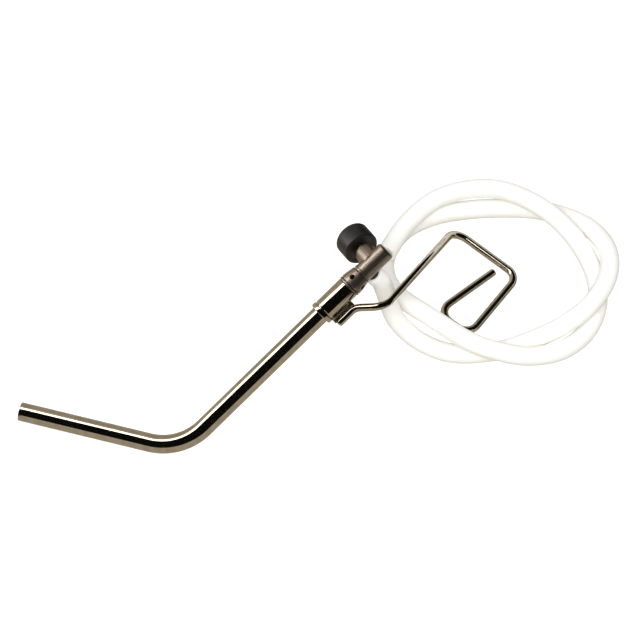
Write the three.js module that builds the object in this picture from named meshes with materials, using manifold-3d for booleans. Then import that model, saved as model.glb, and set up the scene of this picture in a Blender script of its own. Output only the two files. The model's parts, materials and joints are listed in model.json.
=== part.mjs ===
// Hand-held bunsen burner: a bent burner tube on a small gas valve, a wire foot, and a soft hose.
// Units are millimetres, and +Z points up. The burner rests on its free tube leg and its wire foot at z = 0.
import * as THREE from "three";
import { mergeVertices } from "three/addons/utils/BufferGeometryUtils.js";
import Module from "manifold-3d";

const wasm = await Module();
wasm.setup();

// Place of the tube's corner in the object's frame, whose origin is under the middle of the metal parts.
const CORNER_X = -56.2;
const CORNER_Y = -81;

// How the burner lies: the valve end rises from the table, and the valve is rolled about the tube's axis.
const RISE = THREE.MathUtils.degToRad(24.5);
const BEARING = THREE.MathUtils.degToRad(38.3);
const ROLL = THREE.MathUtils.degToRad(72.5);

// Burner tube.
const TUBE_RADIUS = 6;
const TUBE_BORE = 5;
const FREE_LEG = 106.4;
const FREE_LEG_BEARING = THREE.MathUtils.degToRad(164.7);
const TUBE_END = 138;
const BEND_RADIUS = 38;

// Heights along the burner's axis, from the tube's corner.
const SLEEVE_FROM = 123.7;
const SLEEVE_TO = 148.5;
const FLANGE_TO = 150.0;
const AIR_RING_TO = 159.8;
const VALVE_FROM = 160.3;
const VALVE_TO = 182.2;
const INLET_AT = 165;
const KNOB_AT = 170.7;

const SLEEVE_RADIUS = 7.5;
const SLEEVE_BORE = 6.3;
const VALVE_RADIUS = 6.1;
const GAP = 0.3;
const ROUND = 32;

// Wire foot.
const WIRE_RADIUS = 2.5;
const WIRE_OFFSET = 12.3;
const WIRE_CORNER = 8.5;

// Hose.
const HOSE_RADIUS = 6.25;
const HOSE_BORE = 4.05;
const HOSE_FROM = 7.3;
const HOSE_SIDES = 12;
const HOSE_STEPS = 78;

const COLOURS = {
  mirrorNickel: { color: 0xcfcabd, roughness: 0.12, metalness: 1 },
  satinNickel: { color: 0xa69a8e, roughness: 0.35, metalness: 1 },
  brass: { color: 0xb99a54, roughness: 0.35, metalness: 1 },
  steel: { color: 0x9a9a98, roughness: 0.3, metalness: 1 },
  solder: { color: 0xb9b6ac, roughness: 0.4, metalness: 1 },
  blackPlastic: { color: 0x2a2826, roughness: 0.45, metalness: 0 },
  seal: { color: 0x1c1c1c, roughness: 0.7, metalness: 0 },
  silicone: { color: 0xf4f3ef, roughness: 0.5, metalness: 0 },
};

// ---------- small helpers ----------

function solidOf(geometry) {
  const bare = geometry.clone();
  bare.deleteAttribute("normal");
  bare.deleteAttribute("uv");
  const merged = mergeVertices(bare, 1e-4);
  return new wasm.Manifold(
    new wasm.Mesh({
      numProp: 3,
      vertProperties: merged.attributes.position.array,
      triVerts: new Uint32Array(merged.index.array),
    }),
  );
}

function geometryOf(solid) {
  const mesh = solid.getMesh();
  const geometry = new THREE.BufferGeometry();
  geometry.setAttribute("position", new THREE.BufferAttribute(new Float32Array(mesh.vertProperties), 3));
  geometry.setIndex(new THREE.BufferAttribute(new Uint32Array(mesh.triVerts), 1));
  geometry.computeVertexNormals();
  return geometry;
}

function named(name, geometry, finish) {
  const mesh = new THREE.Mesh(geometry, new THREE.MeshStandardMaterial(COLOURS[finish]));
  mesh.name = name;
  return mesh;
}

// A turned piece about +Z: each [radius, height] corner in turn, counter-clockwise seen with the axis at the left.
function turned(corners, sides = ROUND) {
  const points = corners.map(([radius, height]) => new THREE.Vector2(radius, height));
  const startsOnAxis = points[0].x === 0;
  if (!startsOnAxis) {
    points.push(points[0].clone());
  }
  return new THREE.LatheGeometry(points, sides).rotateX(Math.PI / 2);
}

// A plain ring between two radii and two heights.
function ring(inner, outer, from, to, sides = ROUND) {
  return turned([[inner, from], [outer, from], [outer, to], [inner, to]], sides);
}

// A plain solid rod.
function rod(radius, from, to, sides = ROUND) {
  return turned([[0, from], [radius, from], [radius, to], [0, to]], sides);
}

// The same geometry laid along +X, which is the spindle's direction in the valve's own frame.
function alongX(geometry, height) {
  return geometry.rotateY(Math.PI / 2).translate(0, 0, height);
}

// The same geometry laid along -Y, which is the gas inlet's direction in the valve's own frame.
function alongMinusY(geometry, height) {
  return geometry.rotateX(Math.PI / 2).translate(0, 0, height);
}

// A route of straight legs with round corners, with stations only where it bends.
class CorneredRoute extends THREE.Curve {
  constructor(corners, radius, arcSteps) {
    super();
    this.stations = [];
    this.tangents = [];
    const last = corners.length - 1;
    const heading = (i) => corners[i + 1].clone().sub(corners[i]).normalize();
    this.addStation(corners[0], heading(0));
    for (let i = 1; i < last; i++) {
      this.addCorner(corners[i], heading(i - 1), heading(i), radius, arcSteps);
    }
    this.addStation(corners[last], heading(last - 1));
  }

  addStation(point, tangent) {
    this.stations.push(point.clone());
    this.tangents.push(tangent.clone());
  }

  addCorner(corner, before, after, radius, arcSteps) {
    const turn = before.angleTo(after);
    const setback = radius * Math.tan(turn / 2);
    const inward = after.clone().sub(before.clone().multiplyScalar(before.dot(after))).normalize();
    const start = corner.clone().addScaledVector(before, -setback);
    for (let step = 0; step <= arcSteps; step++) {
      const angle = (turn * step) / arcSteps;
      const point = start.clone()
        .addScaledVector(before, radius * Math.sin(angle))
        .addScaledVector(inward, radius * (1 - Math.cos(angle)));
      const tangent = before.clone().multiplyScalar(Math.cos(angle)).addScaledVector(inward, Math.sin(angle));
      this.addStation(point, tangent);
    }
  }

  get steps() {
    return this.stations.length - 1;
  }

  getPointAt(u, target = new THREE.Vector3()) {
    return target.copy(this.stations[Math.round(u * this.steps)]);
  }

  getPoint(t, target) {
    return this.getPointAt(t, target);
  }

  getTangentAt(u, target = new THREE.Vector3()) {
    return target.copy(this.tangents[Math.round(u * this.steps)]);
  }
}

function circleShape(radius, sides, bore = 0) {
  const ringPoints = (r) => Array.from({ length: sides }, (_, i) => {
    const angle = (2 * Math.PI * i) / sides;
    return new THREE.Vector2(r * Math.cos(angle), r * Math.sin(angle));
  });
  const shape = new THREE.Shape(ringPoints(radius));
  if (bore > 0) {
    shape.holes.push(new THREE.Path(ringPoints(bore).reverse()));
  }
  return shape;
}

function pipeAlong(route, steps, radius, sides, bore = 0) {
  return new THREE.ExtrudeGeometry(circleShape(radius, sides, bore), {
    steps,
    bevelEnabled: false,
    extrudePath: route,
  });
}

// ---------- frames ----------

const burner = new THREE.Group();
burner.position.set(CORNER_X, CORNER_Y, 0);

// From the tube's corner, with local +Z along the burner's axis and local -X upward.
const axisGroup = new THREE.Group();
axisGroup.position.set(0, 0, TUBE_RADIUS);
axisGroup.rotation.set(0, Math.PI / 2 - RISE, BEARING, "ZYX");
burner.add(axisGroup);

// The valve's frame: local +X along the spindle towards the knob, and local -Y along the gas inlet.
const valve = new THREE.Group();
valve.rotation.z = ROLL;
axisGroup.add(valve);
burner.updateMatrixWorld(true);

const burnerAxis = new THREE.Vector3(0, 0, 1).transformDirection(axisGroup.matrixWorld);
const inletDirection = new THREE.Vector3(0, -1, 0).transformDirection(valve.matrixWorld);

// A point at a height along the burner's axis, in the burner's frame.
function onAxis(height) {
  return new THREE.Vector3(0, 0, TUBE_RADIUS).addScaledVector(burnerAxis, height);
}

// ---------- burner tube, sleeve and air regulator ----------

function burnerTube() {
  const corner = new THREE.Vector3(0, 0, TUBE_RADIUS);
  const mouth = new THREE.Vector3(Math.cos(FREE_LEG_BEARING), Math.sin(FREE_LEG_BEARING), 0)
    .multiplyScalar(FREE_LEG)
    .add(corner);
  const route = new CorneredRoute([mouth, corner, onAxis(TUBE_END)], BEND_RADIUS, 12);
  return named("burner_tube", pipeAlong(route, route.steps, TUBE_RADIUS, ROUND, TUBE_BORE), "mirrorNickel");
}

// The sleeve has a rounded lip at its lower end and a shallow groove behind it.
function socketSleeve() {
  const lip = 7.9;
  return named("socket_sleeve", turned([
    [SLEEVE_BORE, SLEEVE_FROM],
    [lip - 0.6, SLEEVE_FROM],
    [lip, SLEEVE_FROM + 0.7],
    [lip, SLEEVE_FROM + 2.6],
    [SLEEVE_RADIUS - 0.25, SLEEVE_FROM + 3.1],
    [SLEEVE_RADIUS - 0.25, SLEEVE_FROM + 3.8],
    [SLEEVE_RADIUS, SLEEVE_FROM + 4.4],
    [SLEEVE_RADIUS, SLEEVE_TO - 0.4],
    [SLEEVE_RADIUS - 0.4, SLEEVE_TO],
    [SLEEVE_BORE, SLEEVE_TO],
  ]), "mirrorNickel");
}

// The mixing body: a spigot inside the sleeve, a flange on its end, and a barrel with four air ports.
function airBody() {
  const body = solidOf(turned([
    [4.2, TUBE_END + GAP],
    [6.0, TUBE_END + GAP],
    [6.0, SLEEVE_TO + GAP],
    [7.9, SLEEVE_TO + GAP],
    [7.9, FLANGE_TO],
    [5.2, FLANGE_TO],
    [5.2, VALVE_FROM - GAP],
    [3.2, VALVE_FROM - GAP],
    [3.2, 152],
    [4.2, 149.5],
  ]));
  let ported = body;
  for (let port = 0; port < 2; port++) {
    const drill = rod(1.5, -9, 9, 16).rotateY(Math.PI / 2).rotateZ((port * Math.PI) / 2).translate(0, 0, 155);
    ported = ported.subtract(solidOf(drill));
  }
  return named("air_body", geometryOf(ported), "satinNickel");
}

// The tapered ring that turns on the mixing body, with four ports that open or close the ones behind them.
function airRing() {
  const body = solidOf(turned([
    [5.35, FLANGE_TO + GAP],
    [7.5, FLANGE_TO + GAP],
    [7.8, FLANGE_TO + 0.8],
    [7.7, 153],
    [6.7, AIR_RING_TO - 0.4],
    [6.4, AIR_RING_TO],
    [5.35, AIR_RING_TO],
  ]));
  let ported = body;
  for (let port = 0; port < 2; port++) {
    const drill = rod(1.7, -12, 12, 16).rotateY(Math.PI / 2).rotateZ((port * Math.PI) / 2).translate(0, 0, 155);
    ported = ported.subtract(solidOf(drill));
  }
  return named("air_ring", geometryOf(ported), "satinNickel");
}

// ---------- gas valve ----------

// One casting: the round-ended barrel and the neck that carries the knob, drilled for gas, jet and spindle.
function valveBody() {
  const endRound = 1.6;
  const barrel = [[0, VALVE_FROM], [VALVE_RADIUS, VALVE_FROM], [VALVE_RADIUS, VALVE_TO - endRound]];
  const arcSteps = 4;
  for (let step = 1; step <= arcSteps; step++) {
    const angle = (step * Math.PI) / 2 / arcSteps;
    barrel.push([
      VALVE_RADIUS - endRound * (1 - Math.cos(angle)),
      VALVE_TO - endRound * (1 - Math.sin(angle)),
    ]);
  }
  barrel.push([0, VALVE_TO]);
  const neck = alongX(rod(6.7, 0.5, 11.4), KNOB_AT);
  const outside = solidOf(turned(barrel)).add(solidOf(neck));
  const jetHole = rod(2.0, VALVE_FROM - 1, KNOB_AT, 20);
  const jetSeat = rod(3.0, VALVE_FROM - 1, VALVE_FROM + 4, 20);
  const inletHole = alongMinusY(rod(3.4, 2.4, 9, 20), INLET_AT);
  const inletWay = alongMinusY(rod(1.3, 0, 4, 16), INLET_AT);
  const spindleHole = alongX(rod(4.4, 3.4, 13, 24), KNOB_AT);
  const seatHole = alongX(rod(1.5, 0, 5, 16), KNOB_AT);
  const holes = [jetHole, jetSeat, inletHole, inletWay, spindleHole, seatHole].map(solidOf);
  const body = holes.reduce((rest, hole) => rest.subtract(hole), outside);
  return named("valve_body", geometryOf(body), "satinNickel");
}

function gasJet() {
  return named("gas_jet", turned([
    [0.35, 152.4],
    [1.5, 152.4],
    [2.4, 154.6],
    [2.9, 154.6],
    [2.9, 158.6],
    [2.2, 158.6],
    [2.2, VALVE_FROM + 0.8],
    [1.7, VALVE_FROM + 0.8],
    [1.7, VALVE_FROM + 4.5],
    [1.0, VALVE_FROM + 4.5],
    [1.0, 155.4],
    [0.35, 154.4],
  ], 20), "brass");
}

function jetWasher() {
  return named("jet_washer", ring(2.5, 2.95, 158.9, 160.1, 20), "seal");
}

// The ribbed inlet that the hose is pushed onto, screwed into the side of the valve body.
function hoseBarb() {
  const ribs = [[1.5, 2.8], [3.1, 2.8], [3.1, 6.8], [3.5, 6.8], [3.5, 7.6]];
  for (let rib = 0; rib < 3; rib++) {
    const start = 7.6 + rib * 3.3;
    ribs.push([3.5, start + 0.4], [3.05, start + 3.3]);
  }
  ribs.push([1.5, 17.5]);
  return named("hose_barb", alongMinusY(turned(ribs, 20), INLET_AT), "satinNickel");
}

// ---------- spindle, seal and knob ----------

function spindle() {
  return named("spindle", alongX(turned([
    [0, 1.2],
    [0.5, 1.2],
    [1.2, 3.7],
    [3.6, 3.7],
    [3.6, 7.4],
    [2.0, 7.4],
    [2.0, 25.2],
    [1.4, 25.2],
    [1.4, 21.0],
    [0, 21.0],
  ], 20), KNOB_AT), "brass");
}

function spindleSeal() {
  return named("spindle_seal", alongX(ring(2.3, 4.1, 7.9, 9.2, 20), KNOB_AT), "seal");
}

function glandNut() {
  return named("gland_nut", alongX(turned([
    [2.4, 11.0],
    [4.1, 11.0],
    [4.1, 11.7],
    [5.6, 11.7],
    [5.6, 13.0],
    [5.2, 13.4],
    [2.4, 13.4],
  ], 24), KNOB_AT), "satinNickel");
}

// A round knob with soft edges and a recess that hides the end of the neck.
function knob() {
  return named("knob", alongX(turned([
    [4.5, 15.2],
    [8.3, 15.2],
    [8.9, 14.6],
    [10.2, 14.6],
    [11.1, 15.1],
    [11.5, 16.2],
    [11.5, 26.0],
    [11.1, 27.4],
    [10.0, 28.4],
    [4.0, 28.4],
    [4.0, 26.6],
    [3.0, 26.6],
    [3.0, 25.6],
    [4.5, 25.6],
  ], 48), KNOB_AT), "blackPlastic");
}

function knobInsert() {
  return named("knob_insert", alongX(ring(2.3, 4.2, 15.4, 25.3, 24), KNOB_AT), "brass");
}

function knobScrew() {
  return named("knob_screw", alongX(turned([
    [0, 21.4],
    [1.1, 21.4],
    [1.1, 26.9],
    [3.5, 26.9],
    [3.5, 27.6],
    [2.6, 28.2],
    [0, 28.2],
  ], 24), KNOB_AT), "steel");
}

// ---------- wire foot ----------

// The wire runs beside the sleeve, jogs out, slopes to the table and ends in an open square loop.
const wireSide = new THREE.Vector3(0.698, -0.62, -0.358).normalize();
const wireCorners = [
  onAxis(SLEEVE_FROM + 3.6).addScaledVector(wireSide, WIRE_OFFSET),
  new THREE.Vector3(110.1, 72.6, 60.6),
  new THREE.Vector3(129, 67.9, 70),
  new THREE.Vector3(175.6, 164.7, WIRE_RADIUS),
  new THREE.Vector3(216.2, 129.7, WIRE_RADIUS),
  new THREE.Vector3(183.7, 85.7, WIRE_RADIUS),
  new THREE.Vector3(163.6, 103.1, WIRE_RADIUS),
  new THREE.Vector3(201.3, 133.8, WIRE_RADIUS),
];

function wireFoot() {
  const route = new CorneredRoute(wireCorners, WIRE_CORNER, 5);
  return named("wire_foot", pipeAlong(route, route.steps, WIRE_RADIUS, 16), "mirrorNickel");
}

// A saddle plate brazed between the sleeve and the wire.
function footSaddle() {
  const from = SLEEVE_FROM + 5;
  const to = SLEEVE_FROM + 18;
  const sideways = wireSide.clone().applyMatrix3(
    new THREE.Matrix3().setFromMatrix4(axisGroup.matrixWorld).transpose(),
  );
  const block = new THREE.BoxGeometry(WIRE_OFFSET, 3.4, to - from)
    .translate(WIRE_OFFSET / 2, 0, (from + to) / 2)
    .rotateZ(Math.atan2(sideways.y, sideways.x));
  const sleeveRoom = rod(SLEEVE_RADIUS + GAP, from - 5, to + 5, 48);
  const wireRoom = rod(WIRE_RADIUS + GAP, from - 5, to + 5, 32)
    .translate(sideways.x * WIRE_OFFSET, sideways.y * WIRE_OFFSET, 0);
  const saddle = solidOf(block).subtract(solidOf(sleeveRoom)).subtract(solidOf(wireRoom));
  return named("foot_saddle", geometryOf(saddle), "solder");
}

// ---------- hose ----------

// The hose's route on the table, from the end of its straight run off the inlet to its free end.
const hoseRoute = [
  [129.5, 92.3, 47.5], [137, 84.5, 24.5], [152.5, 76, 11.5], [173, 70, 7],
  [203, 71, 9], [222, 76.5, 11.5], [243, 84.5, 17], [261.5, 98.5, 20.5],
  [273, 118.5, 20], [274.5, 139.5, 16.5], [266, 158, 12], [250, 171, 8],
  [229.5, 177.5, 7], [207, 178.5, 7.5], [183.5, 177, 7.5], [161.5, 172.5, 7],
  [144, 162.5, 7.5], [134, 149, 8.5], [130, 134.5, 11], [131.5, 120.5, 14],
  [138.5, 106.5, 18], [158, 88.5, 22.5], [183.5, 70.5, 21.5], [201, 64, 20.5],
  [221, 62.5, 16.5], [242.5, 69.5, 11.5], [259, 85.5, 7.5], [267, 106, 6.5],
  [265.5, 128, 8], [257, 146.5, 12], [243.5, 162, 18], [225.5, 175, 21.5],
  [205, 185, 20], [184, 186, 18.5], [162.5, 177, 20], [143.5, 157, 22],
  [131, 133.5, 25.5],
];

function hose() {
  const start = onAxis(INLET_AT);
  const points = [HOSE_FROM, 12, 17.5].map((out) => start.clone().addScaledVector(inletDirection, out));
  for (const [x, y, z] of hoseRoute) {
    points.push(new THREE.Vector3(x, y, z));
  }
  const curve = new THREE.CatmullRomCurve3(points, false, "centripetal");
  return named("hose", pipeAlong(curve, HOSE_STEPS, HOSE_RADIUS, HOSE_SIDES, HOSE_BORE), "silicone");
}

// ---------- the object ----------

burner.add(burnerTube(), wireFoot(), hose());
axisGroup.add(socketSleeve(), footSaddle(), airBody(), airRing());
valve.add(valveBody(), gasJet(), jetWasher(), hoseBarb());
valve.add(spindle(), spindleSeal(), glandNut(), knob(), knobInsert(), knobScrew());

const object = new THREE.Group();
object.add(burner);

export default object;
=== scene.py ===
"""Looks of a hand-held bunsen burner: bent nickel tube, needle valve, wire foot and white silicone hose."""
import json
import logging
import math
from dataclasses import dataclass, field
from enum import Enum
from typing import Sequence

import bmesh
import bpy
import numpy as np
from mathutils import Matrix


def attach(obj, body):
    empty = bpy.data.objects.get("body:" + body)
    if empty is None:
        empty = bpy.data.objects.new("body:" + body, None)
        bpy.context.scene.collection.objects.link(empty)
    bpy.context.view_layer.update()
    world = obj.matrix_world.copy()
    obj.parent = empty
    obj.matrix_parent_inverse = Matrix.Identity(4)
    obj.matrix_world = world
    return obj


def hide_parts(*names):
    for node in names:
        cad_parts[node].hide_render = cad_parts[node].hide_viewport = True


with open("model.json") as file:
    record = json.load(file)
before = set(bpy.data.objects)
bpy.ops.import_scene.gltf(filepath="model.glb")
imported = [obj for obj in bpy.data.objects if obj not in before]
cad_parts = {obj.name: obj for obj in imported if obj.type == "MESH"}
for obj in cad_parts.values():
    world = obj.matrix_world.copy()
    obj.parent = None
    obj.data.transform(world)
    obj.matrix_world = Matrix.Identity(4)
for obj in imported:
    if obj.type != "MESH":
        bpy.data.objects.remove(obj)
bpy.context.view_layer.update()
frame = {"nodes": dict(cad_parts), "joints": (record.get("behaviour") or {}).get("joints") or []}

LOG = logging.getLogger("burner")
MM = 0.001
Array = np.ndarray
Corner = tuple[float, float, float]


class Body(Enum):
    """The moving bodies that pieces ride on."""

    BURNER = "burner"
    REGULATOR = "air_regulator"
    KNOB = "knob_and_spindle"
    SEAL = "seal_ride"


class Slot(Enum):
    """The record's material slots."""

    MIRROR = "mirror_nickel"
    SATIN = "satin_nickel"
    BRASS = "brass"
    STEEL = "steel"
    SOLDER = "solder"
    PLASTIC = "black_plastic"
    SEAL = "seal_rubber"
    HOSE = "white_silicone"


# ---------------------------------------------------------------- geometry


def unit(vectors: Array) -> Array:
    """Vectors scaled to length one along their last axis."""
    return vectors / np.linalg.norm(vectors, axis=-1, keepdims=True)


@dataclass
class Spine:
    """A centre line with a frame of two cross directions at each of its points.

    The frame's first direction is the line's heading crossed with `up`, so it has no twist of its own.
    """

    points: Array
    up: Array = field(default_factory=lambda: np.array([0.0, 0.0, 1.0]))

    def __post_init__(self) -> None:
        """Measures the line and works out its headings and cross directions."""
        steps = np.linalg.norm(np.diff(self.points, axis=0), axis=1)
        self.reach = np.concatenate([[0.0], np.cumsum(steps)])
        self.heading = unit(np.gradient(self.points, self.reach, axis=0))
        self.side = unit(np.cross(self.heading, self.up))
        self.over = np.cross(self.side, self.heading)

    @property
    def length(self) -> float:
        """The line's whole length in metres."""
        return float(self.reach[-1])

    def at(self, distance: Array) -> tuple[Array, Array, Array]:
        """Finds places and cross directions along the line, carried straight on past its ends.

        Args:
            distance: distances from the line's start, in metres.

        Returns:
            The points, the side directions and the over directions.
        """
        def pick(values: Array) -> Array:
            return np.stack([np.interp(distance, self.reach, values[:, k]) for k in range(3)], axis=-1)

        beyond = distance - np.clip(distance, 0.0, self.length)
        points = pick(self.points) + pick(self.heading) * beyond[..., None]
        return points, unit(pick(self.side)), unit(pick(self.over))


def straight(origin: Array, direction: Array, length: float, side: Array) -> Spine:
    """A straight spine from a point, whose first cross direction is `side`."""
    reach = np.linspace(0.0, length, 3)[:, None]
    return Spine(origin + direction * reach, up=np.cross(side, direction))


def filleted(corners: Sequence[Corner], steps: int = 6) -> Array:
    """An outline whose corners are rounded by arcs.

    Each corner is (radius, distance, rounding). A corner's arc touches both of its sides: it starts and ends
    rounding / tan(half the corner's angle) away, and its points are the circle's own.

    Args:
        corners: the outline's corners in order, in metres; the ends keep their place.
        steps: arc pieces per rounded corner.

    Returns:
        The (radius, distance) points as rows.
    """
    data = np.array(corners, dtype=float)
    rows = [data[0, :2]]
    for before, here, after in zip(data[:-2], data[1:-1], data[2:]):
        rounding = here[2]
        toward_before = before[:2] - here[:2]
        toward_after = after[:2] - here[:2]
        if rounding <= 0.0:
            rows.append(here[:2])
            continue
        a = toward_before / np.linalg.norm(toward_before)
        b = toward_after / np.linalg.norm(toward_after)
        half = math.acos(float(np.clip(a @ b, -1.0, 1.0))) / 2
        middle = here[:2] + (a + b) / np.linalg.norm(a + b) * rounding / math.sin(half)
        start = here[:2] + a * rounding / math.tan(half) - middle
        end = here[:2] + b * rounding / math.tan(half) - middle
        turn = math.pi - 2 * half
        sense = math.copysign(1.0, start[0] * end[1] - start[1] * end[0])
        angles = np.linspace(0.0, turn, steps + 1) * sense
        arc = np.stack([
            start[0] * np.cos(angles) - start[1] * np.sin(angles),
            start[0] * np.sin(angles) + start[1] * np.cos(angles),
        ], axis=1)
        rows.extend(middle + arc)
    rows.append(data[-1, :2])
    return np.array(rows)


def mesh_object(name: str, vertices: Array, faces: Array, uv: Array | None = None) -> bpy.types.Object:
    """Makes an object of a vertex array and a quad array, merged, closed at its poles and facing outward.

    Args:
        name: the piece's name.
        vertices: points as rows, in metres.
        faces: four vertex numbers a row.
        uv: a (u, v) row for each face corner, in face order, or None.

    Returns:
        The new object, linked to the scene at the origin.
    """
    mesh = bpy.data.meshes.new(name)
    mesh.from_pydata(vertices.tolist(), [], faces.tolist())
    if uv is not None:
        mesh.uv_layers.new(name="Along").data.foreach_set("uv", uv.astype(np.float32).ravel())
    work = bmesh.new()
    work.from_mesh(mesh)
    bmesh.ops.remove_doubles(work, verts=work.verts, dist=1e-7)
    bmesh.ops.dissolve_degenerate(work, edges=work.edges, dist=1e-8)
    bmesh.ops.recalc_face_normals(work, faces=work.faces)
    work.to_mesh(mesh)
    work.free()
    piece = bpy.data.objects.new(name, mesh)
    bpy.context.scene.collection.objects.link(piece)
    smooth(piece)
    return piece


def smooth(piece: bpy.types.Object, sharp_degrees: float = 40.0) -> None:
    """Shades a piece smooth, with edges that turn by more than an angle kept sharp."""
    mesh = piece.data
    mesh.polygons.foreach_set("use_smooth", np.ones(len(mesh.polygons), dtype=bool))
    mesh.set_sharp_from_angle(angle=math.radians(sharp_degrees))


def grid_faces(rows: int, columns: int) -> Array:
    """Quads of a grid that closes on itself across its columns and is open along its rows."""
    row, column = np.meshgrid(np.arange(rows - 1), np.arange(columns), indexing="ij")
    beside = (column + 1) % columns
    quads = np.stack([
        row * columns + column,
        row * columns + beside,
        (row + 1) * columns + beside,
        (row + 1) * columns + column,
    ], axis=-1)
    return quads.reshape(-1, 4)


def turned(name: str, spine: Spine, outline: Array, sides: int = 96) -> bpy.types.Object:
    """A turned surface about a straight or bent centre line.

    A point of the outline (r, s) and an angle t give: the line's point at s, plus r cos t of the side
    direction, plus r sin t of the over direction. The outline starts and ends on the line (r = 0) or closes.

    Args:
        name: the piece's name.
        spine: the centre line.
        outline: (radius, distance) rows in metres.
        sides: points round the line.

    Returns:
        The new piece, with UV u along the outline in metres and v round it in turns.
    """
    closes = outline[0, 0] > 1e-9
    rows = np.vstack([outline, outline[:1]]) if closes else outline
    points, side, over = spine.at(rows[:, 1])
    angle = np.linspace(0.0, 2 * math.pi, sides, endpoint=False)
    ring = side[:, None] * np.cos(angle)[None, :, None] + over[:, None] * np.sin(angle)[None, :, None]
    vertices = points[:, None] + ring * rows[:, 0][:, None, None]
    faces = grid_faces(len(rows), sides)
    run = np.concatenate([[0.0], np.cumsum(np.linalg.norm(np.diff(rows, axis=0), axis=1))])
    row = faces // sides
    column = faces % sides
    wraps = (column == 0) & (column[:, [0]] == sides - 1)
    uv = np.stack([run[row], (column + wraps * sides) / sides], axis=-1)
    return mesh_object(name, vertices.reshape(-1, 3), faces, uv.reshape(-1, 2))


def cornered(corners: Array, radius: float, arc_steps: int = 20) -> Array:
    """Straight legs joined by round corners.

    At a corner that turns by angle T, the arc starts radius * tan(T / 2) before it. Its point at angle t is
    start + radius * sin t of the heading before, plus radius * (1 - cos t) of the inward direction.

    Args:
        corners: the legs' end points as rows, in metres.
        radius: the corners' radius.
        arc_steps: pieces per corner.

    Returns:
        The route's points as rows.
    """
    legs = unit(np.diff(corners, axis=0))
    rows = [corners[:1]]
    for corner, before, after in zip(corners[1:-1], legs[:-1], legs[1:]):
        turn = math.acos(float(np.clip(before @ after, -1.0, 1.0)))
        inward = unit(after - before * (before @ after))
        start = corner - before * radius * math.tan(turn / 2)
        angle = np.linspace(0.0, turn, arc_steps + 1)[:, None]
        rows.append(start + before * radius * np.sin(angle) + inward * radius * (1 - np.cos(angle)))
    rows.append(corners[-1:])
    return np.vstack(rows)


def refined(points: Array, step: float) -> Array:
    """The same line with points at most a step apart, its own points kept."""
    rows = [points[:1]]
    for start, end in zip(points[:-1], points[1:]):
        count = max(1, math.ceil(float(np.linalg.norm(end - start)) / step))
        share = np.arange(1, count + 1)[:, None] / count
        rows.append(start + (end - start) * share)
    return np.vstack(rows)


def through(points: Array, pieces: int = 14) -> Array:
    """A centripetal Catmull-Rom curve through given points.

    Each span is a cubic whose end slopes come from its neighbours, weighted by the square roots of the
    distances between points, so that it neither loops nor overshoots.

    Args:
        points: the points as rows.
        pieces: curve points per span.

    Returns:
        The curve's points as rows.
    """
    padded = np.vstack([2 * points[0] - points[1], points, 2 * points[-1] - points[-2]])
    p0, p1, p2, p3 = padded[:-3], padded[1:-2], padded[2:-1], padded[3:]
    d0, d1, d2 = (np.sqrt(np.linalg.norm(b - a, axis=1))[:, None] for a, b in ((p0, p1), (p1, p2), (p2, p3)))
    slope1 = ((p1 - p0) / d0 - (p2 - p0) / (d0 + d1) + (p2 - p1) / d1) * d1
    slope2 = ((p2 - p1) / d1 - (p3 - p1) / (d1 + d2) + (p3 - p2) / d2) * d1
    t = np.linspace(0.0, 1.0, pieces, endpoint=False)[None, :, None]
    second = -3 * p1 + 3 * p2 - 2 * slope1 - slope2
    third = 2 * p1 - 2 * p2 + slope1 + slope2
    curve = p1[:, None] + slope1[:, None] * t + second[:, None] * t**2 + third[:, None] * t**3
    return np.vstack([curve.reshape(-1, 3), points[-1:]])


def drilled(piece: bpy.types.Object, drills: Sequence[bpy.types.Object]) -> None:
    """Cuts drills out of a piece, applies the cuts and removes the drills."""
    for drill in drills:
        cut = piece.modifiers.new("Drill", "BOOLEAN")
        cut.operation = "DIFFERENCE"
        cut.solver = "EXACT"
        cut.object = drill
    bpy.context.view_layer.update()
    graph = bpy.context.evaluated_depsgraph_get()
    shape = bpy.data.meshes.new_from_object(piece.evaluated_get(graph))
    piece.modifiers.clear()
    piece.data = shape
    for drill in drills:
        bpy.data.objects.remove(drill)
    smooth(piece, 30.0)


# ---------------------------------------------------------------- materials


def linear(hex_colour: str) -> tuple[float, float, float, float]:
    """An sRGB hex colour as linear red, green, blue and alpha."""
    values = [int(hex_colour[i:i + 2], 16) / 255 for i in (0, 2, 4)]
    red, green, blue = (v / 12.92 if v <= 0.04045 else ((v + 0.055) / 1.055) ** 2.4 for v in values)
    return (red, green, blue, 1.0)


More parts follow.
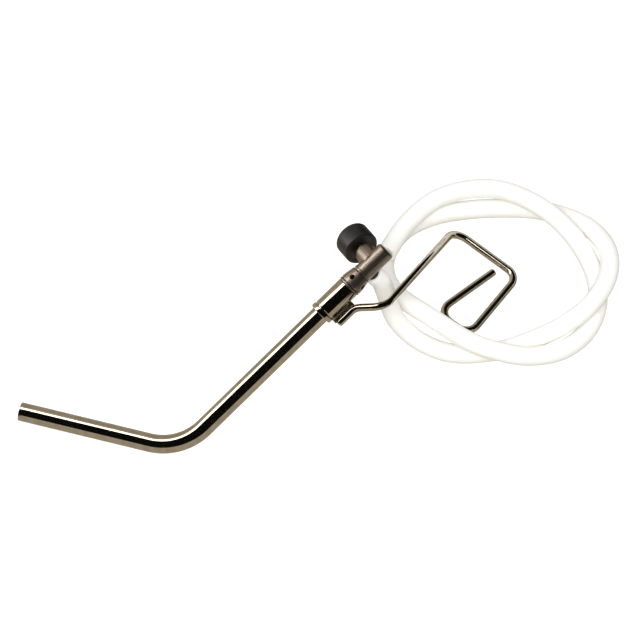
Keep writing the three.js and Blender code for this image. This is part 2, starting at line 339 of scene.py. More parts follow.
class Paint:
    """A material under construction: its node tree and its surface shader."""

    def __init__(self, name: str) -> None:
        """Starts a node material with one Principled shader."""
        self.material = bpy.data.materials.new(name)
        self.material.use_nodes = True
        self.tree = self.material.node_tree
        self.shader = self.tree.nodes["Principled BSDF"]

    def add(self, kind: str, inputs: dict | None = None, **settings: object) -> bpy.types.Node:
        """Adds a node.

        Args:
            kind: the node's type name.
            inputs: socket name or number to a value, or to another node's output socket.
            settings: the node's own properties.

        Returns:
            The new node.
        """
        node = self.tree.nodes.new(kind)
        for key, value in settings.items():
            setattr(node, key, value)
        for key, value in (inputs or {}).items():
            if isinstance(value, bpy.types.NodeSocket):
                self.tree.links.new(value, node.inputs[key])
            else:
                node.inputs[key].default_value = value
        return node

    def set(self, **values: object) -> None:
        """Sets or links the shader's sockets; underscores in names stand for spaces."""
        for key, value in values.items():
            socket = self.shader.inputs[key.replace("_", " ")]
            if isinstance(value, bpy.types.NodeSocket):
                self.tree.links.new(value, socket)
            else:
                socket.default_value = value

    def ramp(
        self, factor: bpy.types.NodeSocket, stops: Sequence[tuple[float, tuple]]
    ) -> bpy.types.NodeSocket:
        """A colour ramp on a factor, with (position, linear colour) stops."""
        node = self.add("ShaderNodeValToRGB", {"Fac": factor})
        elements = node.color_ramp.elements
        while len(elements) < len(stops):
            elements.new(0.5)
        for element, (position, colour) in zip(elements, stops):
            element.position = position
            element.color = colour
        return node.outputs["Color"]

    def range(self, value: bpy.types.NodeSocket, low: float, high: float) -> bpy.types.NodeSocket:
        """A value from 0 to 1 stretched between two limits."""
        node = self.add("ShaderNodeMapRange", {"Value": value, "To Min": low, "To Max": high})
        return node.outputs["Result"]


@dataclass(frozen=True)
class NickelPlate:
    """Bright or satin nickel plate on brass: warm white metal, polished or finely turned before plating.

    A mirror plate shows sharp reflections with faint polishing waves; a satin one shows fine turning lines,
    and its colour holds painted reflection: light and dark bands along the axis.
    """

    name: str
    colour: str
    dark_colour: str
    roughness: float
    roughness_spread: float
    turning_mm: float
    turning_depth: float
    wave_depth: float
    # streaks: share of the colour that is painted reflection bands along the axis; it also sets the depth of
    # the lengthwise lines.
    streaks: float = 0.0

    def build(self, axis: Array, origin: Array) -> bpy.types.Material:
        """Makes the material for pieces turned about one axis.

        Args:
            axis: the turning axis' direction.
            origin: a point on it, in metres; not used.

        Returns:
            The material.
        """
        paint = Paint(self.name)
        place = paint.add("ShaderNodeTexCoord").outputs["Object"]
        along = paint.add("ShaderNodeVectorMath", {0: place, 1: tuple(axis)}, operation="DOT_PRODUCT")
        lines = paint.add(
            "ShaderNodeTexNoise",
            {"W": along.outputs["Value"], "Scale": 1.0 / (self.turning_mm * MM), "Detail": 2.0},
            noise_dimensions="1D",
        )
        clouds = paint.add("ShaderNodeTexNoise", {"Vector": place, "Scale": 220.0, "Detail": 4.0})
        stains = paint.add("ShaderNodeTexNoise", {"Vector": place, "Scale": 900.0, "Detail": 2.0})
        uv = paint.add("ShaderNodeUVMap", uv_map="Along").outputs["UV"]
        round_it = paint.add("ShaderNodeSeparateXYZ", {"Vector": uv}).outputs["Y"]
        # Noise round the axis, so bands that run along it: painted reflection in the colour, and lengthwise
        # lines in the bump.
        drawn_lines_and_painted_bands = paint.add(
            "ShaderNodeTexNoise",
            {"W": round_it, "Scale": 70.0, "Detail": 3.0, "Roughness": 0.7},
            noise_dimensions="1D",
        )
        # The tint: painted reflection bands for satin plate, and random cloudy tone for mirror plate.
        painted_reflection_bands = paint.add(
            "ShaderNodeMix",
            {0: self.streaks, 2: clouds.outputs["Fac"], 3: drawn_lines_and_painted_bands.outputs["Fac"]},
            data_type="FLOAT",
        ).outputs[0]
        tint = paint.ramp(painted_reflection_bands, [(0.38, linear(self.dark_colour)), (0.58, linear(self.colour))])
        dull = paint.add(
            "ShaderNodeMath",
            {0: clouds.outputs["Fac"], 1: stains.outputs["Fac"]},
            operation="MULTIPLY",
        )
        roughness = paint.range(
            dull.outputs["Value"],
            self.roughness - self.roughness_spread,
            self.roughness + 3 * self.roughness_spread,
        )
        waves = paint.add("ShaderNodeTexNoise", {"Vector": place, "Scale": 130.0, "Detail": 1.0})
        broad = paint.add(
            "ShaderNodeBump",
            {"Height": waves.outputs["Fac"], "Distance": self.wave_depth * MM, "Strength": 1.0},
        )
        fine = paint.add(
            "ShaderNodeBump",
            {
                "Height": lines.outputs["Fac"],
                "Distance": self.turning_depth * MM,
                "Strength": 1.0,
                "Normal": broad.outputs["Normal"],
            },
        )
        lengthwise = paint.add(
            "ShaderNodeBump",
            {
                "Height": drawn_lines_and_painted_bands.outputs["Fac"],
                "Distance": self.streaks * 0.05 * MM,
                "Strength": 1.0,
                "Normal": fine.outputs["Normal"],
            },
        )
        paint.set(Metallic=1.0, Base_Color=tint, Roughness=roughness, Normal=lengthwise.outputs["Normal"])
        return paint.material


@dataclass(frozen=True)
class MouldedPlastic:
    """Black thermoset moulding with a fine spark-eroded grain, a little shinier where fingers rub it."""

    name: str = "moulded_black_phenolic"
    colour: str = "0F0F0E"
    worn_colour: str = "22201D"
    roughness: float = 0.4
    grain_mm: float = 0.35

    def build(self) -> bpy.types.Material:
        """Makes the material."""
        paint = Paint(self.name)
        place = paint.add("ShaderNodeTexCoord").outputs["Object"]
        grain = paint.add(
            "ShaderNodeTexNoise",
            {"Vector": place, "Scale": 1.0 / (self.grain_mm * MM), "Detail": 3.0},
        )
        wear = paint.add("ShaderNodeTexNoise", {"Vector": place, "Scale": 160.0, "Detail": 3.0})
        stops = [(0.4, linear(self.colour)), (0.75, linear(self.worn_colour))]
        tint = paint.ramp(wear.outputs["Fac"], stops)
        bump = paint.add(
            "ShaderNodeBump",
            {"Height": grain.outputs["Fac"], "Distance": 0.03 * MM, "Strength": 0.6},
        )
        paint.set(
            Base_Color=tint,
            Roughness=paint.range(wear.outputs["Fac"], self.roughness - 0.08, self.roughness + 0.1),
            IOR=1.55,
            Normal=bump.outputs["Normal"],
        )
        return paint.material


@dataclass(frozen=True)
class SiliconeRubber:
    """Extruded white silicone: slightly waxy, with light spreading under the skin and faint die lines."""

    name: str = "extruded_white_silicone"
    colour: str = "FAFAF7"
    shade_colour: str = "F6F5F0"
    roughness: float = 0.42

    def build(self) -> bpy.types.Material:
        """Makes the material; die lines follow the piece's own UV map."""
        paint = Paint(self.name)
        place = paint.add("ShaderNodeTexCoord").outputs["Object"]
        uv = paint.add("ShaderNodeUVMap", uv_map="Along").outputs["UV"]
        parts = paint.add("ShaderNodeSeparateXYZ", {"Vector": uv})
        lines = paint.add(
            "ShaderNodeTexNoise",
            {"W": parts.outputs["Y"], "Scale": 60.0, "Detail": 2.0},
            noise_dimensions="1D",
        )
        dust = paint.add("ShaderNodeTexNoise", {"Vector": place, "Scale": 90.0, "Detail": 5.0})
        stops = [(0.3, linear(self.shade_colour)), (0.55, linear(self.colour))]
        tint = paint.ramp(dust.outputs["Fac"], stops)
        bump = paint.add(
            "ShaderNodeBump",
            {"Height": lines.outputs["Fac"], "Distance": 0.02 * MM, "Strength": 0.5},
        )
        paint.set(
            Base_Color=tint,
            Roughness=paint.range(dust.outputs["Fac"], self.roughness - 0.05, self.roughness + 0.08),
            IOR=1.41,
            Subsurface_Weight=0.25,
            Subsurface_Radius=(0.6, 0.5, 0.4),
            Subsurface_Scale=2.5 * MM,
            Normal=bump.outputs["Normal"],
        )
        return paint.material


@dataclass(frozen=True)
class PlainFinish:
    """A small inner part's finish: one material with fine turning or moulding noise."""

    name: str
    colour: str
    dark_colour: str
    roughness: float
    metallic: float
    grain_mm: float

    def build(self) -> bpy.types.Material:
        """Makes the material."""
        paint = Paint(self.name)
        place = paint.add("ShaderNodeTexCoord").outputs["Object"]
        grain = paint.add(
            "ShaderNodeTexNoise",
            {"Vector": place, "Scale": 1.0 / (self.grain_mm * MM), "Detail": 3.0},
        )
        stops = [(0.35, linear(self.dark_colour)), (0.65, linear(self.colour))]
        tint = paint.ramp(grain.outputs["Fac"], stops)
        bump = paint.add(
            "ShaderNodeBump",
            {"Height": grain.outputs["Fac"], "Distance": 0.02 * MM, "Strength": 0.4},
        )
        paint.set(
            Base_Color=tint,
            Metallic=self.metallic,
            Roughness=paint.range(grain.outputs["Fac"], self.roughness - 0.06, self.roughness + 0.08),
            Normal=bump.outputs["Normal"],
        )
        return paint.material


MIRROR_NICKEL = NickelPlate("mirror_nickel_plate", "CFC7B8", "C2B9A9", 0.07, 0.02, 0.6, 0.002, 0.02)
# The satin plate's two colours are the light and dark of its painted reflection bands.
SATIN_NICKEL = NickelPlate("satin_nickel_painted_bands", "C2B5A8", "6F655C", 0.40, 0.06, 0.25, 0.008, 0.0, 1.0)
SOLDER = PlainFinish("braze_nickel_flashed", "B3A794", "8E8270", 0.3, 1.0, 0.8)
BRASS = PlainFinish("turned_brass", "C5A35B", "A98845", 0.3, 1.0, 0.5)
STEEL = PlainFinish("machined_steel", "A6A6A4", "8C8C8A", 0.32, 1.0, 0.5)
RUBBER = PlainFinish("moulded_nitrile_rubber", "1C1B1A", "141312", 0.6, 0.0, 0.4)


# ---------------------------------------------------------------- the object


@dataclass
class Layout:
    """The burner's axes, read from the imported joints, and its driving distances along them, in metres."""

    ring_at: float = 155 * MM
    knob_at: float = 170.7 * MM
    inlet_at: float = 165 * MM
    table_to_axis: float = 6 * MM

    def __post_init__(self) -> None:
        """Reads the two turning axes and works out the corner of the tube and the inlet's direction."""
        joints = {joint["name"]: joint for joint in frame["joints"]}
        self.axis = unit(np.array(joints["air_ring_turn"]["axis"], dtype=float))
        self.knob = unit(np.array(joints["knob_turn"]["axis"], dtype=float))
        self.inlet = -np.cross(self.axis, self.knob)
        self.corner = np.array(joints["air_ring_turn"]["pos_m"], dtype=float) - self.axis * self.ring_at
        self.ground = self.corner - np.array([0.0, 0.0, self.table_to_axis])

    def on_axis(self, height: float) -> Array:
        """The point at a height along the burner's axis."""
        return self.corner + self.axis * height

    def main(self) -> Spine:
        """The burner's axis as a spine measured from the tube's corner."""
        return straight(self.corner, self.axis, 0.2, self.knob)

    def spindle(self) -> Spine:
        """The spindle's axis as a spine measured from the burner's axis."""
        return straight(self.on_axis(self.knob_at), self.knob, 0.04, self.axis)

    def gas_inlet(self) -> Spine:
        """The gas inlet's axis as a spine measured from the burner's axis."""
        return straight(self.on_axis(self.inlet_at), self.inlet, 0.04, self.axis)


def finish_piece(
    piece: bpy.types.Object,
    body: Body,
    material: bpy.types.Material,
    replaced: Sequence[str] = (),
) -> bpy.types.Object:
    """Gives a piece its material and body, and hides the CAD nodes that it stands for."""
    piece.data.materials.clear()
    piece.data.materials.append(material)
    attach(piece, body.value)
    if replaced:
        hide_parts(*replaced)
    LOG.info("%s: %d faces", piece.name, len(getattr(piece.data, "polygons", ())))
    return piece


@dataclass
class Hose:
    """The gas hose: 12.5 mm outside, 8 mm inside, straight off the barb, then two loose turns on the table.

    The route's points are in metres from the point of the table below the tube's corner.
    """

    layout: Layout
    radius: float = 6.25 * MM
    bore: float = 4.05 * MM
    starts: tuple[float, ...] = (7.3 * MM, 12 * MM, 17.5 * MM)
    route: tuple[tuple[float, float, float], ...] = (
        (0.1295, 0.0923, 0.0475), (0.137, 0.0845, 0.0245), (0.1525, 0.076, 0.0115), (0.173, 0.07, 0.007),
        (0.203, 0.071, 0.009), (0.222, 0.0765, 0.0115), (0.243, 0.0845, 0.017), (0.2615, 0.0985, 0.0205),
        (0.273, 0.1185, 0.02), (0.2745, 0.1395, 0.0165), (0.266, 0.158, 0.012), (0.25, 0.171, 0.008),
        (0.2295, 0.1775, 0.007), (0.207, 0.1785, 0.0075), (0.1835, 0.177, 0.0075), (0.1615, 0.1725, 0.007),
        (0.144, 0.1625, 0.0075), (0.134, 0.149, 0.0085), (0.13, 0.1345, 0.011), (0.1315, 0.1205, 0.014),
        (0.1385, 0.1065, 0.018), (0.158, 0.0885, 0.0225), (0.1835, 0.0705, 0.0215), (0.201, 0.064, 0.0205),
        (0.221, 0.0625, 0.0165), (0.2425, 0.0695, 0.0115), (0.259, 0.0855, 0.0075), (0.267, 0.106, 0.0065),
        (0.2655, 0.128, 0.008), (0.257, 0.1465, 0.012), (0.2435, 0.162, 0.018), (0.2255, 0.175, 0.0215),
        (0.205, 0.185, 0.02), (0.184, 0.186, 0.0185), (0.1625, 0.177, 0.02), (0.1435, 0.157, 0.022),
        (0.131, 0.1335, 0.0255),
    )

    def centre_line(self) -> Spine:
        """The curve through the straight run off the barb and the route's points."""
        out = np.array(self.starts)[:, None]
        first = self.layout.on_axis(self.layout.inlet_at) + self.layout.inlet * out
        rest = self.layout.ground + np.array(self.route)
        return Spine(refined(through(np.vstack([first, rest])), 3 * MM))

    def build(self) -> bpy.types.Object:
        spine = self.centre_line()
        wall = spine.reach[1:-1]
        outer = np.stack([np.full_like(wall, self.radius), wall], axis=1)
        inner = np.stack([np.full_like(wall, self.bore), wall[::-1]], axis=1)
        soft = 0.35 * MM
        ends = self.end_lip(spine.length, soft)
        outline = np.vstack([self.end_lip(0.0, -soft)[::-1], outer, ends, inner])
        hose = turned("gas_hose", spine, outline, 64)
        finish_piece(hose, Body.BURNER, SiliconeRubber().build(), ["hose"])
        return hose

    def end_lip(self, end: float, soft: float) -> Array:
        """The rounded lip of a cut end: from the outer skin, across the cut face, to the bore."""
        angle = np.linspace(0.0, math.pi / 2, 6)
        size = abs(soft)
        out = self.radius - size + size * np.cos(angle)
        outside = np.stack([out, end - soft + soft * np.sin(angle)], axis=1)
        inside = np.stack([
            self.bore + size - size * np.cos(angle[::-1]),
            end - soft + soft * np.sin(angle[::-1]),
        ], axis=1)
        return np.vstack([outside, inside])


@dataclass
class Tube:
    """The bent burner tube and the sleeve that it is brazed into."""

    layout: Layout
    radius: float = 6 * MM
    bore: float = 5 * MM
    free_leg: float = 106.4 * MM
    free_bearing: float = math.radians(164.7)
    end: float = 138 * MM
    bend: float = 38 * MM
    sleeve: tuple[float, float] = (123.7 * MM, 148.5 * MM)

    def build(self, nickel: bpy.types.Material) -> None:
        """Makes the tube and its sleeve."""
        finish_piece(self.make_tube(), Body.BURNER, nickel, ["burner_tube"])
        finish_piece(self.make_sleeve(), Body.BURNER, nickel, ["socket_sleeve"])

    def make_tube(self) -> bpy.types.Object:
        """A thin tube on a straight leg, one bend and a rising leg, with its cut mouth softly rounded."""
        layout = self.layout
        away = np.array([math.cos(self.free_bearing), math.sin(self.free_bearing), 0.0])
        mouth = layout.corner + away * self.free_leg
        corners = np.stack([mouth, layout.corner, layout.on_axis(self.end)])
        line = refined(cornered(corners, self.bend, 40), 4 * MM)
        spine = Spine(line, up=np.cross(away, layout.axis))
        lip = 0.3 * MM
        outline = filleted([
            (self.bore, spine.length / 2, 0),
            (self.bore, 0, lip),
            (self.radius, 0, lip),
            (self.radius, spine.length / 2, 0),
        ], 5)
        wall = spine.reach[(spine.reach > 1 * MM) & (spine.reach < spine.length)]
        rim = outline[1:-1]
        outer = np.stack([np.full_like(wall, self.radius), wall], axis=1)
        inner = np.stack([np.full_like(wall, self.bore), wall[::-1]], axis=1)
        tail = np.array([[self.radius, spine.length], [self.bore, spine.length]])
        return turned("burner_tube_polished", spine, np.vstack([rim, outer, tail, inner]), 96)

    def make_sleeve(self) -> bpy.types.Object:
        """The sleeve: a rounded lip, a shallow groove and a plain barrel with broken edges."""
        low, high = self.sleeve
        outline = filleted([
            (6.3 * MM, low + 5 * MM, 0),
            (6.3 * MM, low, 0.2 * MM),
            (7.9 * MM, low, 0.7 * MM),
            (7.9 * MM, low + 2.9 * MM, 0.5 * MM),
            (7.2 * MM, low + 3.3 * MM, 0.2 * MM),
            (7.2 * MM, low + 3.8 * MM, 0.2 * MM),
            (7.5 * MM, low + 4.3 * MM, 0.3 * MM),
            (7.5 * MM, high, 0.35 * MM),
            (6.3 * MM, high, 0.1 * MM),
            (6.3 * MM, low + 5 * MM, 0),
        ])
        return turned("socket_sleeve_polished", self.layout.main(), outline[:-1], 128)


@dataclass
class AirRegulator:
    """The mixing body's flange and barrel, and the ported ring that turns on it."""

    layout: Layout
    port_at: float = 155 * MM

    def build(self, satin: bpy.types.Material) -> None:
        """Makes both pieces."""
        body = turned("air_body_turned", self.layout.main(), filleted([
            (4.2 * MM, 140 * MM, 0),
            (4.2 * MM, 138.3 * MM, 0.1 * MM),
            (6.0 * MM, 138.3 * MM, 0.2 * MM),
            (6.0 * MM, 148.8 * MM, 0.1 * MM),
            (7.9 * MM, 148.8 * MM, 0.35 * MM),
            (7.9 * MM, 150 * MM, 0.35 * MM),
            (5.2 * MM, 150 * MM, 0.1 * MM),
            (5.2 * MM, 160 * MM, 0.1 * MM),
            (3.2 * MM, 160 * MM, 0.1 * MM),
            (3.2 * MM, 152 * MM, 0),
            (4.2 * MM, 149.5 * MM, 0),
            (4.2 * MM, 140 * MM, 0),
        ])[:-1], 96)
        drilled(body, self.drills(1.5 * MM, 9 * MM))
        finish_piece(body, Body.BURNER, satin, ["air_body"])
        ring = turned("air_ring_turned", self.layout.main(), filleted([
            (5.35 * MM, 155 * MM, 0),
            (5.35 * MM, 150.3 * MM, 0.1 * MM),
            (7.8 * MM, 150.3 * MM, 0.5 * MM),
            (7.7 * MM, 153 * MM, 3 * MM),
            (6.55 * MM, 159.8 * MM, 0.5 * MM),
            (5.35 * MM, 159.8 * MM, 0.1 * MM),
            (5.35 * MM, 155 * MM, 0),
        ])[:-1], 128)
        drilled(ring, self.drills(1.7 * MM, 12 * MM))
        finish_piece(ring, Body.REGULATOR, satin, ["air_ring"])

    def drills(self, radius: float, reach: float) -> list[bpy.types.Object]:
        """Two crossed rods through the axis, which leave four ports."""
        layout = self.layout
        middle = layout.on_axis(self.port_at)
        across = np.cross(layout.axis, np.array([0.0, 0.0, 1.0]))
        down = unit(np.cross(across, layout.axis))
        rods = []
        for name, direction in (("drill_a", down), ("drill_b", unit(across))):
            spine = straight(middle - direction * reach, direction, 2 * reach, layout.axis)
            outline = np.array([[0, 0], [radius, 0], [radius, 2 * reach], [0, 2 * reach]])
            rods.append(turned(name, spine, outline, 32))
        return rods


@dataclass
class Valve:
    """The valve body with its neck, gland nut and hose barb."""

    layout: Layout
    radius: float = 6.1 * MM
    span: tuple[float, float] = (160.3 * MM, 182.2 * MM)
    neck: float = 6.7 * MM
    neck_out: float = 11.4 * MM

    def build(self, satin: bpy.types.Material, neck_satin: bpy.types.Material) -> None:
        """Makes the valve's visible pieces."""
        low, high = self.span
        barrel = turned("valve_barrel_turned", self.layout.main(), filleted([
            (0, low, 0),
            (6.45 * MM, low, 0.3 * MM),
            (6.45 * MM, low + 1.1 * MM, 0.3 * MM),
            (self.radius, low + 1.5 * MM, 0.2 * MM),
            (self.radius, high, 1.8 * MM),
            (0, high, 0),
        ], 8), 128)
        finish_piece(barrel, Body.BURNER, satin, ["valve_body"])
        neck = turned("valve_neck_turned", self.layout.spindle(), filleted([
            (0, 1 * MM, 0),
            (self.neck, 1 * MM, 0),
            (self.neck, self.neck_out, 0.5 * MM),
            (4.5 * MM, self.neck_out, 0.2 * MM),
            (4.5 * MM, 6 * MM, 0),
            (0, 6 * MM, 0),
        ], 6), 96)
        finish_piece(neck, Body.BURNER, neck_satin)
        gland = turned("gland_nut_turned", self.layout.spindle(), filleted([
            (2.4 * MM, 12 * MM, 0),
            (2.4 * MM, 11 * MM, 0),
            (4.1 * MM, 11 * MM, 0.1 * MM),
            (4.1 * MM, 11.7 * MM, 0),
            (5.6 * MM, 11.7 * MM, 0.2 * MM),
            (5.6 * MM, 13.4 * MM, 0.5 * MM),
            (2.4 * MM, 13.4 * MM, 0.2 * MM),
            (2.4 * MM, 12 * MM, 0),
        ])[:-1], 96)
        finish_piece(gland, Body.BURNER, neck_satin, ["gland_nut"])
        self.build_barb(satin)

    def build_barb(self, satin: bpy.types.Material) -> None:
        """Makes the ribbed barb inside the hose's end."""
        corners = [(1.5 * MM, 10 * MM, 0.0), (1.5 * MM, 3.1 * MM, 0.0), (2.8 * MM, 3.1 * MM, 0.1 * MM)]
        corners += [(2.8 * MM, 6.8 * MM, 0.0), (3.5 * MM, 6.8 * MM, 0.2 * MM)]
        for rib in range(3):
            start = (8.0 + rib * 3.3) * MM
            corners += [(3.5 * MM, start, 0.1 * MM), (3.05 * MM, start + 2.9 * MM, 0.1 * MM)]
        corners += [(1.5 * MM, 17.5 * MM, 0.3 * MM), (1.5 * MM, 10 * MM, 0.0)]
        barb = turned("hose_barb_turned", self.layout.gas_inlet(), filleted(corners, 3)[:-1], 64)
        finish_piece(barb, Body.BURNER, satin, ["hose_barb"])


@dataclass
class Knob:
    """The moulded knob, with soft rims and a recess that the neck's end stands in."""

    layout: Layout
    radius: float = 11.5 * MM

    def build(self) -> None:
        """Makes the knob."""
        shape = filleted([
            (4.5 * MM, 20 * MM, 0),
            (4.5 * MM, 15.2 * MM, 0.2 * MM),
            (8.3 * MM, 15.2 * MM, 0.4 * MM),
            (8.9 * MM, 14.6 * MM, 0.5 * MM),
            (self.radius, 14.6 * MM, 1.4 * MM),
            (self.radius, 28.4 * MM, 1.8 * MM),
            (4.0 * MM, 28.4 * MM, 0.4 * MM),
            (4.0 * MM, 26.6 * MM, 0.2 * MM),
            (3.0 * MM, 26.6 * MM, 0.1 * MM),
            (3.0 * MM, 25.6 * MM, 0.1 * MM),
            (4.5 * MM, 25.6 * MM, 0.1 * MM),
            (4.5 * MM, 20 * MM, 0),
        ], 8)[:-1]
        knob = turned("knob_moulded", self.layout.spindle(), shape, 128)
        finish_piece(knob, Body.KNOB, MouldedPlastic().build(), ["knob"])


@dataclass
class Foot:
    """The bent wire foot and the braze that joins it to the sleeve."""

    layout: Layout
    radius: float = 2.5 * MM
    corner_radius: float = 8.5 * MM
    offset: float = 12.3 * MM
    from_height: float = 127.3 * MM
    beside: tuple[float, float, float] = (0.698, -0.62, -0.358)
    corners: tuple[tuple[float, float, float], ...] = (
        (0.1101, 0.0726, 0.0606),
        (0.129, 0.0679, 0.070),
        (0.1756, 0.1647, 0.0025),
        (0.2162, 0.1297, 0.0025),
        (0.1837, 0.0857, 0.0025),
        (0.1636, 0.1031, 0.0025),
        (0.2013, 0.1338, 0.0025),
    )

    def build(self, nickel: bpy.types.Material, solder: bpy.types.Material) -> None:
        """Makes the wire and its braze."""
        finish_piece(self.make_wire(), Body.BURNER, nickel, ["wire_foot"])
        finish_piece(self.make_braze(), Body.BURNER, solder, ["foot_saddle"])

    def side(self) -> Array:
        """The direction from the sleeve's axis to the wire beside it."""
        return unit(np.array(self.beside))

    def make_wire(self) -> bpy.types.Object:
        """Round wire on straight legs and bends, with domed ends."""
        start = self.layout.on_axis(self.from_height) + self.side() * self.offset
        corners = np.vstack([start, self.layout.ground + np.array(self.corners)])
        spine = Spine(refined(cornered(corners, self.corner_radius, 16), 5 * MM))
        wall = spine.reach[(spine.reach > self.radius) & (spine.reach < spine.length - self.radius)]
        angle = np.linspace(0.0, math.pi / 2, 9)
        near = np.stack([self.radius * np.sin(angle), self.radius * 0.6 * (1 - np.cos(angle))], axis=1)
        far = np.stack([near[::-1, 0], spine.length - near[::-1, 1]], axis=1)
        skin = np.stack([np.full_like(wall, self.radius), wall], axis=1)
        return turned("wire_foot_bent", spine, np.vstack([near, skin, far]), 48)

    def make_braze(self) -> bpy.types.Object:
        """The braze web between sleeve and wire.

        Across, it runs from the sleeve's skin (u = 0) to the wire's skin (u = 1), and its half thickness is a
        waist that widens to both skins: thin + (wide - thin) * (2u - 1)^2. Along, it fades to nothing at both
        ends as the square root of the distance to the end.
        """
        low, high = 126.5 * MM, 143.5 * MM
        sleeve, wire = 7.2 * MM, self.offset - 1.2 * MM
        thin, wide = 1.5 * MM, 2.9 * MM
        along = np.linspace(-1.0, 1.0, 41)
        fade = np.sqrt(np.clip(1.0 - along**6, 0.0, 1.0))
        across = np.linspace(0.0, 1.0, 25)
        half = thin + (wide - thin) * (2 * across - 1) ** 2
        half = half * (1.0 - 0.35 * across)
        out = sleeve + (wire - sleeve) * across
        loop_out = np.concatenate([out, out[::-1]])
        loop_half = np.concatenate([half, -half[::-1]])
        side = self.side()
        thick = np.cross(self.layout.axis, side)
        height = (low + high) / 2 + along * (high - low) / 2
        centre = self.layout.corner + self.layout.axis * height[:, None]
        vertices = (
            centre[:, None]
            + side * loop_out[None, :, None]
            + thick * (loop_half[None, :] * fade[:, None])[..., None]
        )
        return mesh_object("foot_braze", vertices.reshape(-1, 3), grid_faces(len(along), len(loop_out)))


# ---------------------------------------------------------------- studio


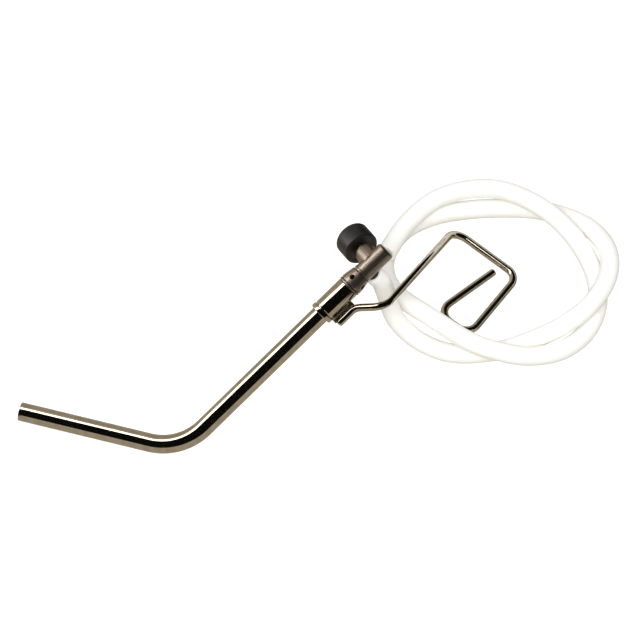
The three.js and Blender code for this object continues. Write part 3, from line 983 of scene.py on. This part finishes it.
@dataclass
class Studio:
    """The camera, the floor, the lamps and the dome that shiny parts reflect."""

    target: tuple[float, float, float] = (0.0319, 0.0061, 0.02)
    elevation: float = math.radians(60.0)
    distance: float = 3.0
    view_width: float = 0.4096

    def camera(self) -> None:
        """Sets the camera: a long lens at 60 degrees above the table."""
        lens = 36.0 * self.distance / self.view_width
        data = bpy.data.cameras.new("camera")
        data.lens = lens
        data.sensor_width = 36.0
        data.clip_end = 20.0
        camera = bpy.data.objects.new("camera", data)
        back = np.array([0.0, -math.cos(self.elevation), math.sin(self.elevation)])
        camera.location = np.array(self.target) + back * self.distance
        camera.rotation_euler = (math.pi / 2 - self.elevation, 0.0, 0.0)
        bpy.context.scene.collection.objects.link(camera)
        bpy.context.scene.camera = camera

    def floor(self) -> None:
        """A pale seamless floor that shiny parts see through the dome instead."""
        size = 3.0
        mesh = bpy.data.meshes.new("floor")
        corners = [(-size, -size, 0), (size, -size, 0), (size, size, 0), (-size, size, 0)]
        mesh.from_pydata(corners, [], [(0, 1, 2, 3)])
        floor = bpy.data.objects.new("floor", mesh)
        floor.location = (0.0, 0.0, -0.0002)
        bpy.context.scene.collection.objects.link(floor)
        paint = Paint("white_paper_sweep")
        paint.set(Base_Color=linear("BEBDBA"), Roughness=0.9)
        paint.set(Emission_Color=linear("FFFFFF"), Emission_Strength=0.8)
        paint.shader.inputs["Specular IOR Level"].default_value = 0.0
        mesh.materials.append(paint.material)
        floor.visible_glossy = False
        floor.visible_diffuse = False

    def dome(self) -> None:
        """A dome seen only in reflections, as wide as a small light tent.

        It is dark above, with one softbox up to the left, pale cloth behind and low in front, a black card at
        the right-hand back and the pale table below. Each patch is bounded by where its points lie.
        """
        bpy.ops.mesh.primitive_uv_sphere_add(segments=64, ring_count=32, radius=0.7)
        dome = bpy.context.object
        dome.name = "reflection_dome"
        paint = Paint("softbox_and_cards")
        place = paint.add("ShaderNodeTexCoord").outputs["Object"]
        x, y, z = paint.add("ShaderNodeSeparateXYZ", {"Vector": place}).outputs

        def past(value: bpy.types.NodeSocket, low: float, high: float) -> bpy.types.NodeSocket:
            node = paint.add(
                "ShaderNodeMapRange",
                {"Value": value, "From Min": low, "From Max": high},
                interpolation_type="SMOOTHSTEP",
            )
            return node.outputs["Result"]

        def product(*masks: bpy.types.NodeSocket) -> bpy.types.NodeSocket:
            total = masks[0]
            for mask in masks[1:]:
                total = paint.add("ShaderNodeMath", {0: total, 1: mask}, operation="MULTIPLY").outputs[0]
            return total

        slant = paint.add("ShaderNodeMath", {0: y, 1: -0.22, 2: x}, operation="MULTIPLY_ADD").outputs[0]
        softbox = product(
            past(y, 0.01, 0.04), past(y, 0.27, 0.24), past(slant, -0.12, -0.15), past(z, 0.05, 0.1),
        )
        cloth_left = product(past(y, 0.24, 0.27), past(x, 0.0, -0.08))
        cloth_right = past(y, 0.42, 0.46)
        cloth_front = product(past(y, -0.5, -0.55), past(z, 0.2, 0.12))
        card = product(past(x, 0.08, 0.18), past(y, -0.3, -0.22), past(z, 0.5, 0.4), past(z, -0.24, -0.18))
        table = past(z, 0.01, -0.01)
        colour: bpy.types.NodeSocket | tuple = linear("0B0A08")
        layers = (
            (cloth_left, linear("BDB5A6")),
            (cloth_right, linear("A89F92")),
            (cloth_front, linear("B8B0A0")),
            (softbox, (4.0, 3.9, 3.75, 1.0)),
            (table, linear("B3AB9B")),
            (card, linear("100E0C")),
        )
        for mask, layer in layers:
            mixed = paint.add("ShaderNodeMix", {0: mask, 6: colour, 7: layer}, data_type="RGBA")
            colour = mixed.outputs[2]
        glow = paint.add("ShaderNodeEmission", {"Color": colour, "Strength": 1.0})
        out = paint.tree.nodes["Material Output"]
        paint.tree.links.new(glow.outputs["Emission"], out.inputs["Surface"])
        dome.data.materials.append(paint.material)
        dome.visible_camera = False
        dome.visible_diffuse = False
        dome.visible_shadow = False
        dome.visible_transmission = False
        dome.visible_volume_scatter = False

    def lamps(self) -> None:
        """Soft light: a sky that is brightest overhead, and one broad lamp above the camera's line."""
        world = bpy.data.worlds.new("studio_sky")
        world.use_nodes = True
        nodes = world.node_tree.nodes
        links = world.node_tree.links
        parts = nodes.new("ShaderNodeSeparateXYZ")
        links.new(nodes.new("ShaderNodeTexCoord").outputs["Generated"], parts.inputs["Vector"])
        ramp = nodes.new("ShaderNodeValToRGB")
        links.new(parts.outputs["Z"], ramp.inputs["Fac"])
        ramp.color_ramp.elements[0].color = (0.60, 0.565, 0.49, 1.0)
        ramp.color_ramp.elements[1].position = 0.7
        ramp.color_ramp.elements[1].color = (0.84, 0.84, 0.84, 1.0)
        links.new(ramp.outputs["Color"], nodes["Background"].inputs["Color"])
        nodes["Background"].inputs["Strength"].default_value = 1.0
        bpy.context.scene.world = world
        data = bpy.data.lights.new("overhead", "AREA")
        data.shape = "DISK"
        data.size = 0.9
        data.energy = 15.0
        lamp = bpy.data.objects.new("overhead", data)
        back = np.array([-0.05, -math.cos(self.elevation), math.sin(self.elevation)])
        lamp.location = np.array(self.target) + back * 1.6
        lamp.rotation_euler = (math.pi / 2 - self.elevation, 0.0, math.radians(-3))
        lamp.visible_glossy = False
        bpy.context.scene.collection.objects.link(lamp)
        bpy.context.scene.view_settings.view_transform = "Standard"


# ---------------------------------------------------------------- the carried-over parts


INNER_PARTS: tuple[tuple[str, PlainFinish], ...] = (
    ("gas_jet", BRASS),
    ("jet_washer", RUBBER),
    ("spindle", BRASS),
    ("spindle_seal", RUBBER),
    ("knob_insert", BRASS),
    ("knob_screw", STEEL),
)


def dress_inner_parts() -> None:
    """Gives each carried-over CAD part its own finish."""
    made: dict[str, bpy.types.Material] = {}
    for node, finish in INNER_PARTS:
        if finish.name not in made:
            made[finish.name] = finish.build()
        part = frame["nodes"][node]
        part.data.materials.clear()
        part.data.materials.append(made[finish.name])
        LOG.info("%s: carried over as %s", node, finish.name)


def main() -> None:
    """Builds the camera and hose first, then every other sub-assembly, and reports each piece."""
    logging.basicConfig(level=logging.INFO, format="%(name)s %(message)s")
    studio = Studio()
    studio.camera()
    layout = Layout()
    Hose(layout).build()
    polished = MIRROR_NICKEL.build(layout.axis, layout.corner)
    satin = SATIN_NICKEL.build(layout.axis, layout.corner)
    neck_satin = SATIN_NICKEL.build(layout.knob, layout.corner)
    Tube(layout).build(polished)
    AirRegulator(layout).build(satin)
    Valve(layout).build(satin, neck_satin)
    Knob(layout).build()
    Foot(layout).build(polished, SOLDER.build())
    dress_inner_parts()
    studio.floor()
    studio.dome()
    studio.lamps()


if __name__ == "__main__":
    main()
